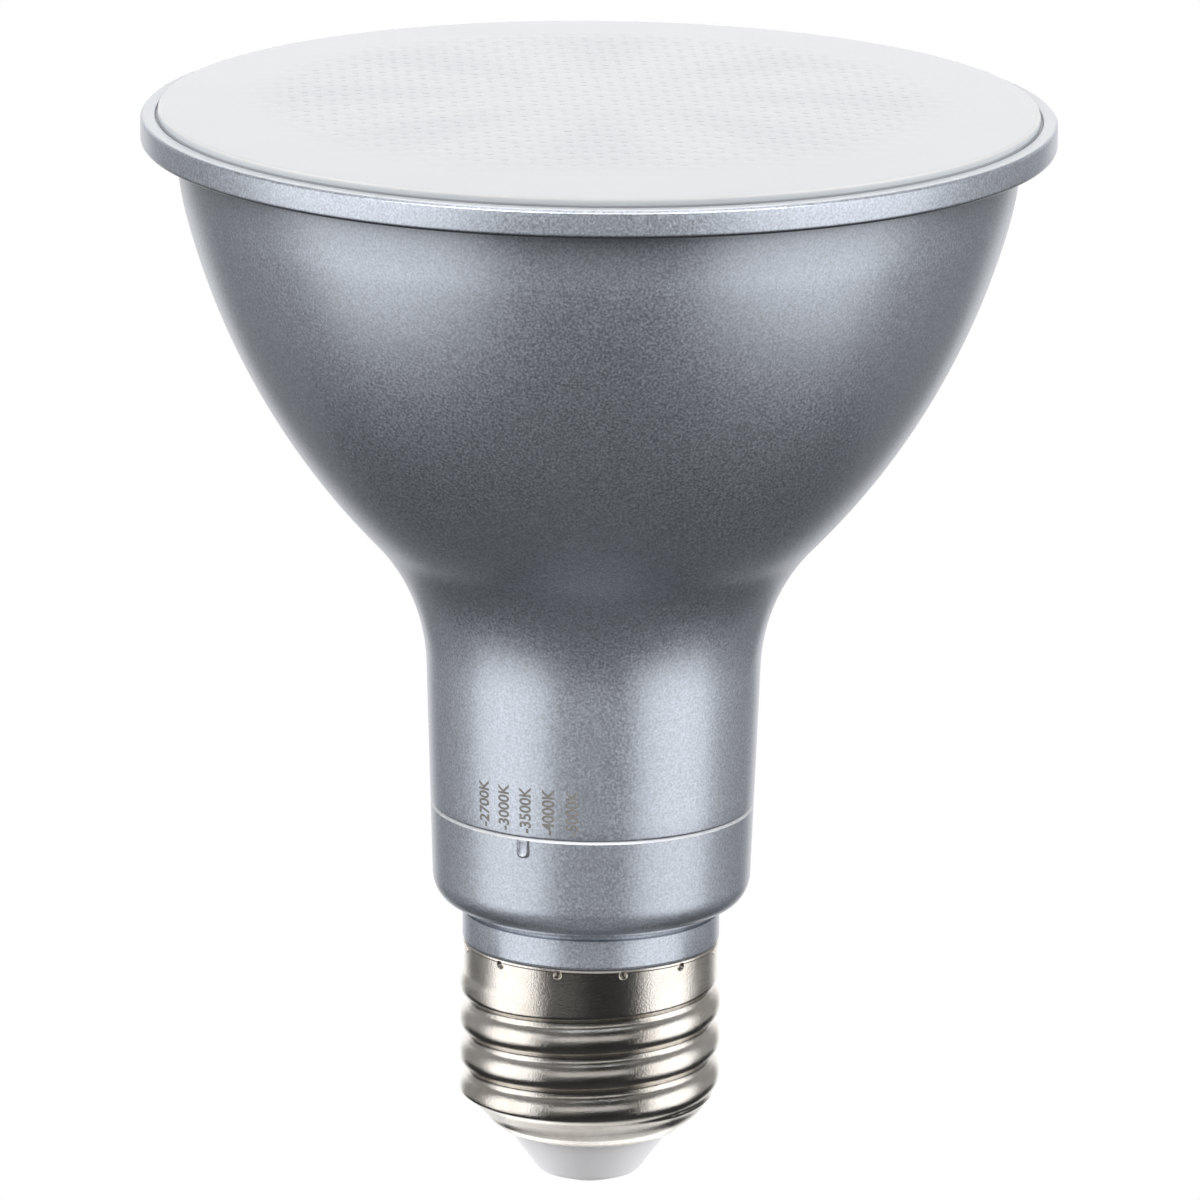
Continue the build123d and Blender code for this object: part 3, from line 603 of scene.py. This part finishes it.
def tongue(width, length, front):
    """Block that stands out of the ring under the seam, round at its lower end."""
    bm = bmesh.new()
    bmesh.ops.create_cube(bm, size=1.0)
    bmesh.ops.scale(bm, verts=bm.verts[:], vec=(rib_depth * MM, width * MM, length * MM))
    middle = z_ring_top - ring_chamfer - length / 2
    bmesh.ops.translate(bm, verts=bm.verts[:], vec=((front - rib_depth / 2) * MM, 0, middle * MM))
    corners = [e for e in bm.edges if all(v.co.z < middle * MM for v in e.verts)
               and abs(e.verts[0].co.x - e.verts[1].co.x) > 1e-7]
    bmesh.ops.bevel(bm, geom=corners, offset=rib_corner * MM, affect="EDGES", segments=6, profile=0.5,
                    material=-1)
    return bm


def set_on_pointer(bm):
    """Turns a tongue round to the pointer's place."""
    bmesh.ops.recalc_face_normals(bm, faces=bm.faces[:])
    bmesh.ops.rotate(bm, verts=bm.verts[:], cent=(0, 0, 0),
                     matrix=Matrix.Rotation(math.radians(pointer_angle), 3, "Z"))
    return bm


def pointer_rib():
    """Small raised tongue with a sunk face."""
    bm = tongue(width=1.0, length=1.6, front=16.4)
    front = max(v.co.x for v in bm.verts)
    face = [f for f in bm.faces if all(abs(v.co.x - front) < 1e-7 for v in f.verts)]
    bmesh.ops.inset_region(bm, faces=face, thickness=0.17 * MM, depth=-0.1 * MM, use_even_offset=True)
    edges = [e for e in bm.edges if all(abs(v.co.x - front) < 1e-7 for v in e.verts)]
    bmesh.ops.bevel(bm, geom=edges, offset=0.05 * MM, affect="EDGES", segments=2, profile=0.5, material=-1)
    return set_on_pointer(bm)


# Dark plate a little larger than the pointer, just behind it: painted shade round the pointer
crease = set_on_pointer(tongue(width=1.32, length=1.78, front=16.145))
finished("pointer_painted_shade", crease, pointer_shade_grey, "ring", "ring_silver", "selector_ring")
ring = finished("selector_ring_shell", selector_ring(), ring_silver, "ring", "ring_silver", "selector_ring")


# Screw cap

def smooth_max(a, b, blend):
    return (a + b + math.sqrt((a - b) ** 2 + blend ** 2)) / 2


def smooth_min(a, b, blend):
    return (a + b - math.sqrt((a - b) ** 2 + blend ** 2)) / 2


def smooth_step(share):
    share = min(1.0, max(0.0, share))
    return share * share * (3 - 2 * share)


def above_crest(height, angle):
    """How far a point of the wall lies above the nearest crest of the endless thread."""
    lead = height - thread_start - pitch * (angle - math.radians(thread_angle)) / math.tau
    return (lead + pitch / 2) % pitch - pitch / 2


def thread_radius(off):
    """Radius of the endless thread off a crest: wide round crests and narrow round roots."""
    swing = 2 * math.atan(2 * (crest_radius - root_radius) / pitch)
    both = pitch / 2 / math.sin(swing)
    crest, root = both * crest_share, both * (1 - crest_share)
    if off < crest * math.sin(swing):
        return crest_radius - crest + math.sqrt(crest ** 2 - off ** 2)
    return root_radius + root - math.sqrt(root ** 2 - (pitch / 2 - off) ** 2)


def cap_radius(height, angle):
    """Radius of the cap: cone, thread with its two run-outs, skirt, rolled lip and punched crimps."""
    cone_rise = z_cone_top - z_mouth
    mouth_outer = cap_mouth + cap_sheet * math.hypot(cone_rise, core_radius - cap_mouth) / cone_rise
    cone = mouth_outer + (core_radius - mouth_outer) / cone_rise * (height - z_mouth)
    wall = smooth_min(cone, core_radius, wall_blend)
    wall += (skirt_radius - core_radius) * smooth_step((height - z_skirt) / step_height + 1)
    above = above_crest(height, angle)
    thread = thread_radius(abs(above))
    ridge = ((thread - root_radius) / (crest_radius - root_radius)) ** 3
    cone += ridge_rise * ridge * smooth_step((height - z_mouth - ridge_start) / ridge_fade)
    sunk = smooth_step((height - above - z_skirt + sink_start) / sink_fade)
    limit = skirt_radius + (crest_radius + crest_room - skirt_radius) * (1 - sunk)
    crest = smooth_min(thread, smooth_min(cone, limit, wall_blend), thread_blend)
    radius = smooth_max(wall, crest, thread_blend - (thread_blend - sunk_blend) * sunk)
    lip = height - z_cap_rim + cap_lip_height
    radius += cap_lip_rise * smooth_step(lip / cap_lip_bend) - cap_lip_fall * max(0.0, lip - cap_lip_bend)
    near = math.hypot(beside_crimp(angle), height - z_cap_rim + crimp_drop) / crimp_reach
    if near < 1:
        radius -= crimp_depth * (1 - near ** 2) ** 1.5
    return radius


def beside_crimp(angle):
    """How far a place on the skirt lies beside the nearest crimp."""
    part = math.tau / crimp_count
    return (angle % part - part / 2) * skirt_radius


def drawn(bm, loop, radius, height):
    """Draws an open edge of the cap on to a new circle."""
    grown = bmesh.ops.extrude_edge_only(bm, edges=loop)["geom"]
    for v in grown:
        if isinstance(v, bmesh.types.BMVert):
            v.co.xy = v.co.xy.normalized() * radius * MM
            v.co.z = height * MM
    return [e for e in grown if isinstance(e, bmesh.types.BMEdge)]


def screw_cap():
    """Rolled cap: the sheet is turned, pushed to the thread's form and drawn round to the inside."""
    z_band, band_half = z_cap_rim - 1.2, 0.7
    sheet = HalfSection(skirt_radius, z_mouth).to(skirt_radius, z_band, 126)
    bm = sheet.to(skirt_radius, z_cap_rim - 0.03, 26).spun(432)
    round_crimps = [e for e in bm.edges if min(v.co.z for v in e.verts) > (z_band - 0.01) * MM
                    and abs(e.verts[0].co.z - e.verts[1].co.z) < 1e-7
                    and all(abs(beside_crimp(math.atan2(v.co.y, v.co.x))) < band_half for v in e.verts)]
    bmesh.ops.subdivide_edges(bm, edges=round_crimps, cuts=3, use_grid_fill=True)
    for v in bm.verts:
        radius = cap_radius(v.co.z / MM, math.atan2(v.co.y, v.co.x))
        v.co.xy = v.co.xy.normalized() * radius * MM
    top = [e for e in bm.edges if e.is_boundary and e.verts[0].co.z > z_skirt * MM]
    foot = [e for e in bm.edges if e.is_boundary and e.verts[0].co.z < z_skirt * MM]
    skirt_bore, bore = skirt_radius - cap_sheet, core_radius - cap_sheet
    for radius, height in ((skirt_radius, z_cap_rim), (skirt_bore, z_cap_rim),
                           (skirt_bore - 0.1, z_skirt + cap_sheet), (bore, z_skirt - 0.2),
                           (bore, z_cone_top + 0.2), (cap_mouth, z_mouth)):
        top = drawn(bm, top, radius, height)
    bmesh.ops.bridge_loops(bm, edges=top + foot)
    bmesh.ops.recalc_face_normals(bm, faces=bm.faces[:])
    return bm


cap = finished("screw_cap_shell", screw_cap(), nickel, "lamp", "cap_nickel", "screw_cap")


# Insulator, and the pieces that keep their solid's own form

def insulator_plug():
    """Tapered plug with a rounded lower edge."""
    plug = HalfSection(rivet_radius, z_plug_low)
    plug.rounded((plug_radius, z_plug_low), (plug_top_radius, z_mouth), plug_round, 12)
    plug.to(plug_top_radius, z_mouth, 4).to(plug_brim_radius, z_plug_top).to(plug_inside, z_plug_top)
    plug.to(plug_floor_radius, z_plug_floor).to(rivet_radius, z_plug_floor)
    return plug.close().spun()


plug = finished("insulator_plug", insulator_plug(), insulator_white, "lamp", "insulator_white", "insulator")


def merged_copy(node):
    """The solid's own mesh with its loose triangles joined."""
    bm = bmesh.new()
    bm.from_mesh(nodes[node].data)
    bmesh.ops.remove_doubles(bm, verts=bm.verts[:], dist=1e-6)
    return bm


finished("base_holder_shell", merged_copy("base_holder"), holder_silver, "lamp", "holder_silver",
         "base_holder")
finished("contact_button", merged_copy("center_contact"), nickel, "lamp", "contact_metal", "center_contact")


# Colour scale

def scale_mark(words, angle):
    """One number of the scale, wrapped upright on the neck with its dash next to the seam."""
    text = bpy.data.curves.new("mark_text", "FONT")
    text.body = words
    text.extrude = 0.004
    text.offset = 0.024
    flat = bpy.data.objects.new("mark_flat", text)
    scene.collection.objects.link(flat)
    bpy.context.view_layer.update()
    mesh = bpy.data.meshes.new_from_object(flat.evaluated_get(bpy.context.evaluated_depsgraph_get()))
    bpy.data.objects.remove(flat)
    bm = bmesh.new()
    bm.from_mesh(mesh)
    bpy.data.meshes.remove(mesh)
    bmesh.ops.remove_doubles(bm, verts=bm.verts[:], dist=1e-5)
    bmesh.ops.triangulate(bm, faces=bm.faces[:])
    left, right = min(v.co.x for v in bm.verts), max(v.co.x for v in bm.verts)
    tall = max(v.co.y for v in bm.verts)
    for v in bm.verts:
        up = z_seam + mark_gap + mark_length * (v.co.x - left) / (right - left)
        around = math.radians(angle + mark_turn) - (v.co.y / tall - 0.5) * mark_height / neck_radius
        radius = neck_radius + (up - z_seam) * math.tan(taper) + (ink_face if v.co.z > 0 else ink_root)
        v.co = Vector((math.cos(around) * radius, math.sin(around) * radius, up)) * MM
    bmesh.ops.recalc_face_normals(bm, faces=bm.faces[:])
    return bm


for place, number in enumerate(("2700", "3000", "3500", "4000", "5000")):
    turn = pointer_angle + scale_step * (place - 2)
    finished("scale_" + number, scale_mark("-" + number + "K", turn), ink, "lamp", "shell_silver")


# Studio

stand_off, floor_depth, floor_half = 0.62, 0.62, 1.6


def soft_light(name, place, target, width, height, level):
    """Flat soft light at a place, turned to a target; level is how bright its face looks."""
    light = bpy.data.lights.new(name, "AREA")
    light.shape = "RECTANGLE"
    light.size, light.size_y = width, height
    light.energy = level * math.pi * width * height
    box = bpy.data.objects.new(name, light)
    box.location = place
    box.rotation_euler = (Vector(target) - Vector(place)).to_track_quat("-Z", "Y").to_euler()
    box.visible_camera = False
    scene.collection.objects.link(box)
    return box


def softbox(name, azimuth, low, high, width, level):
    """Tall soft light that stands round the lamp."""
    turn, middle = math.radians(azimuth), (low + high) / 2
    place = (math.sin(turn) * stand_off, -math.cos(turn) * stand_off, middle)
    return soft_light(name, place, (0, 0, middle), width, high - low, level)


def falls_on(light, state, *pieces):
    """Lets a light fall only on these pieces (INCLUDE), or on all others (EXCLUDE)."""
    chosen = bpy.data.collections.new(light.name + "_falls_on")
    for piece in pieces:
        chosen.objects.link(piece)
    for member in chosen.collection_objects:
        member.light_linking.link_state = state
    light.light_linking.receiver_collection = chosen


# The base, the lens and the ring have lights of their own, because the photograph lights them differently
base = (cap, plug)
for side, name in ((-1, "left"), (1, "right")):
    main = softbox("softbox_" + name, azimuth=side * 60, low=-0.44, high=0.46, width=0.70, level=1.14)
    falls_on(main, "EXCLUDE", *base)
    below = softbox("plug_light_" + name, azimuth=side * 82, low=-0.36, high=0.30, width=0.60, level=4.6)
    falls_on(below, "INCLUDE", plug)
    flank = softbox("softbox_flank_" + name, azimuth=side * 125, low=-0.42, high=-0.15, width=0.50,
                    level=0.16)
    falls_on(flank, "EXCLUDE", *base)
    above = soft_light("softbox_high_" + name, place=(side * 0.36, -0.60, 0.72), target=(0, 0, 0.08),
                       width=0.5, height=0.6, level=6.6)
    falls_on(above, "EXCLUDE", cap, *lens)
    over_lens = soft_light("lens_light_" + name, place=(side * 0.42, 0.12, 0.74), target=(0, 0, 0.1),
                           width=0.5, height=0.6, level=3.8)
    falls_on(over_lens, "INCLUDE", *lens)
front = softbox("softbox_front", azimuth=0, low=-0.31, high=-0.01, width=0.30, level=0.28)
falls_on(front, "EXCLUDE", cap)
lens_front = softbox("lens_light_front", azimuth=0, low=0.10, high=0.46, width=0.60, level=1.2)
falls_on(lens_front, "INCLUDE", *lens)
ring_low = soft_light("ring_light_low", place=(0, -0.27, -0.5), target=(0, -0.27, 0), width=0.8, height=0.5,
                      level=0.16)
falls_on(ring_low, "INCLUDE", ring)
for name, azimuth in (("left", -75), ("right", 77)):
    beside = softbox("cap_light_" + name, azimuth, low=-0.36, high=0.46, width=0.60, level=1.25)
    falls_on(beside, "INCLUDE", cap)
cap_front = softbox("cap_light_front", azimuth=0, low=0.05, high=0.42, width=0.90, level=0.5)
falls_on(cap_front, "INCLUDE", cap)


def studio_floor():
    """Floor well below the lamp: pale to the camera, dark to other rays, and clear from below."""
    bm = bmesh.new()
    bmesh.ops.create_grid(bm, x_segments=1, y_segments=1, size=floor_half)
    bmesh.ops.translate(bm, verts=bm.verts[:], vec=(0, 0, -floor_depth))
    mesh = bpy.data.meshes.new("studio_floor")
    bm.to_mesh(mesh)
    bm.free()
    floor = bpy.data.objects.new("studio_floor", mesh)
    scene.collection.objects.link(floor)
    finish = Finish("floor_paper")
    finish.color(finish.ramp(finish.noise(40), (0.3, (0.02, 0.02, 0.021)), (0.7, (0.025, 0.025, 0.025))))
    finish.set(Roughness=0.9)
    glow = finish.add("ShaderNodeEmission")
    glow.inputs["Strength"].default_value = 1.0
    path = finish.add("ShaderNodeLightPath").outputs
    x, y = finish.axes()[:2]
    reach = finish.reach(x, y)
    behind = finish.range(finish.math("DIVIDE", y, reach), 0.86, 0.95, 0.0, 1.0)
    behind = finish.math("MULTIPLY", behind, finish.range(reach, 0.2, 0.5, 0.0, 1.0))
    mirrored = finish.math("MULTIPLY", path["Is Glossy Ray"], behind)
    seen = finish.math("MAXIMUM", finish.math("MULTIPLY", path["Is Camera Ray"], 0.97), mirrored)
    pale = finish.mix_shaders(seen, finish.shader.outputs[0], glow.outputs[0])
    from_below = finish.add("ShaderNodeNewGeometry").outputs["Backfacing"]
    clear = finish.add("ShaderNodeBsdfTransparent").outputs[0]
    one_sided = finish.mix_shaders(from_below, pale, clear)
    finish.join(one_sided, finish.tree.nodes["Material Output"].inputs["Surface"])
    mesh.materials.append(finish.material)


studio_floor()


# How bright the room is by direction, in degrees round from the front
room_levels = ((-180, 1.2), (-157, 1.2), (-147, 0.30), (-104, 0.26), (-48, 0.13), (-14, 0.11), (-5, 0.03),
               (38, 0.02), (50, 0.14), (104, 0.27), (147, 0.32), (157, 1.2), (180, 1.2))


def studio_world():
    """White to the camera; to polished surfaces a dim room with a white backdrop behind the lamp."""
    world = bpy.data.worlds.new("studio")
    scene.world = world
    world.use_nodes = True
    room = NodeTree(world.node_tree, "Generated")
    x, y = room.axes()[:2]
    around = room.math("ARCTAN2", x, room.math("MULTIPLY", y, -1.0))
    share = room.math("MULTIPLY_ADD", around, 1 / math.tau, 0.5)
    walls = room.ramp(share, *((turn / 360 + 0.5, (level, level, level)) for turn, level in room_levels))
    path = room.add("ShaderNodeLightPath").outputs
    mirrored = room.math("MAXIMUM", path["Is Glossy Ray"], path["Is Transmission Ray"])
    level = room.mix_levels(mirrored, 0.03, walls)
    back = room.tree.nodes["Background"]
    back.inputs["Color"].default_value = (1, 1, 1, 1)
    room.join(room.mix_levels(path["Is Camera Ray"], level, 1.0), back.inputs["Strength"])


studio_world()


def bounce_below():
    """Small disk just under the contact that throws light up at the base, as a pale stand does."""
    radius, level = 0.014, 0.55
    disk = bpy.data.lights.new("bounce_below", "AREA")
    disk.shape = "DISK"
    disk.size = 2 * radius
    disk.energy = level * math.pi * math.pi * radius ** 2
    card = bpy.data.objects.new("bounce_below", disk)
    card.location = (0, 0, -0.004)
    card.rotation_euler = (math.pi, 0, 0)
    card.visible_camera = False
    scene.collection.objects.link(card)
    return card


falls_on(bounce_below(), "EXCLUDE", plug)

scene.view_settings.view_transform = "Standard"

# Camera, as fitted to the photograph, whose width and focal length are in pixels
look_down, camera_off, roll = math.radians(14.509), 1.035, math.radians(0.59)
look_height, picture_width, focal_length, sensor_width = 0.05665, 1200.0, 10415.79, 36.0
camera = bpy.data.cameras.new("camera")
camera.sensor_width = sensor_width
camera.lens = focal_length * sensor_width / picture_width
camera.shift_x, camera.shift_y = 0.005034, 0.022836
camera.clip_start, camera.clip_end = 0.05, 50.0
viewer = bpy.data.objects.new("camera", camera)
aim = Vector((0, math.cos(look_down), -math.sin(look_down)))
viewer.location = Vector((0, 0, look_height)) - aim * camera_off
viewer.rotation_mode = "QUATERNION"
viewer.rotation_quaternion = aim.to_track_quat("-Z", "Y") @ Quaternion((0, 0, 1), roll)
scene.collection.objects.link(viewer)
scene.camera = viewer
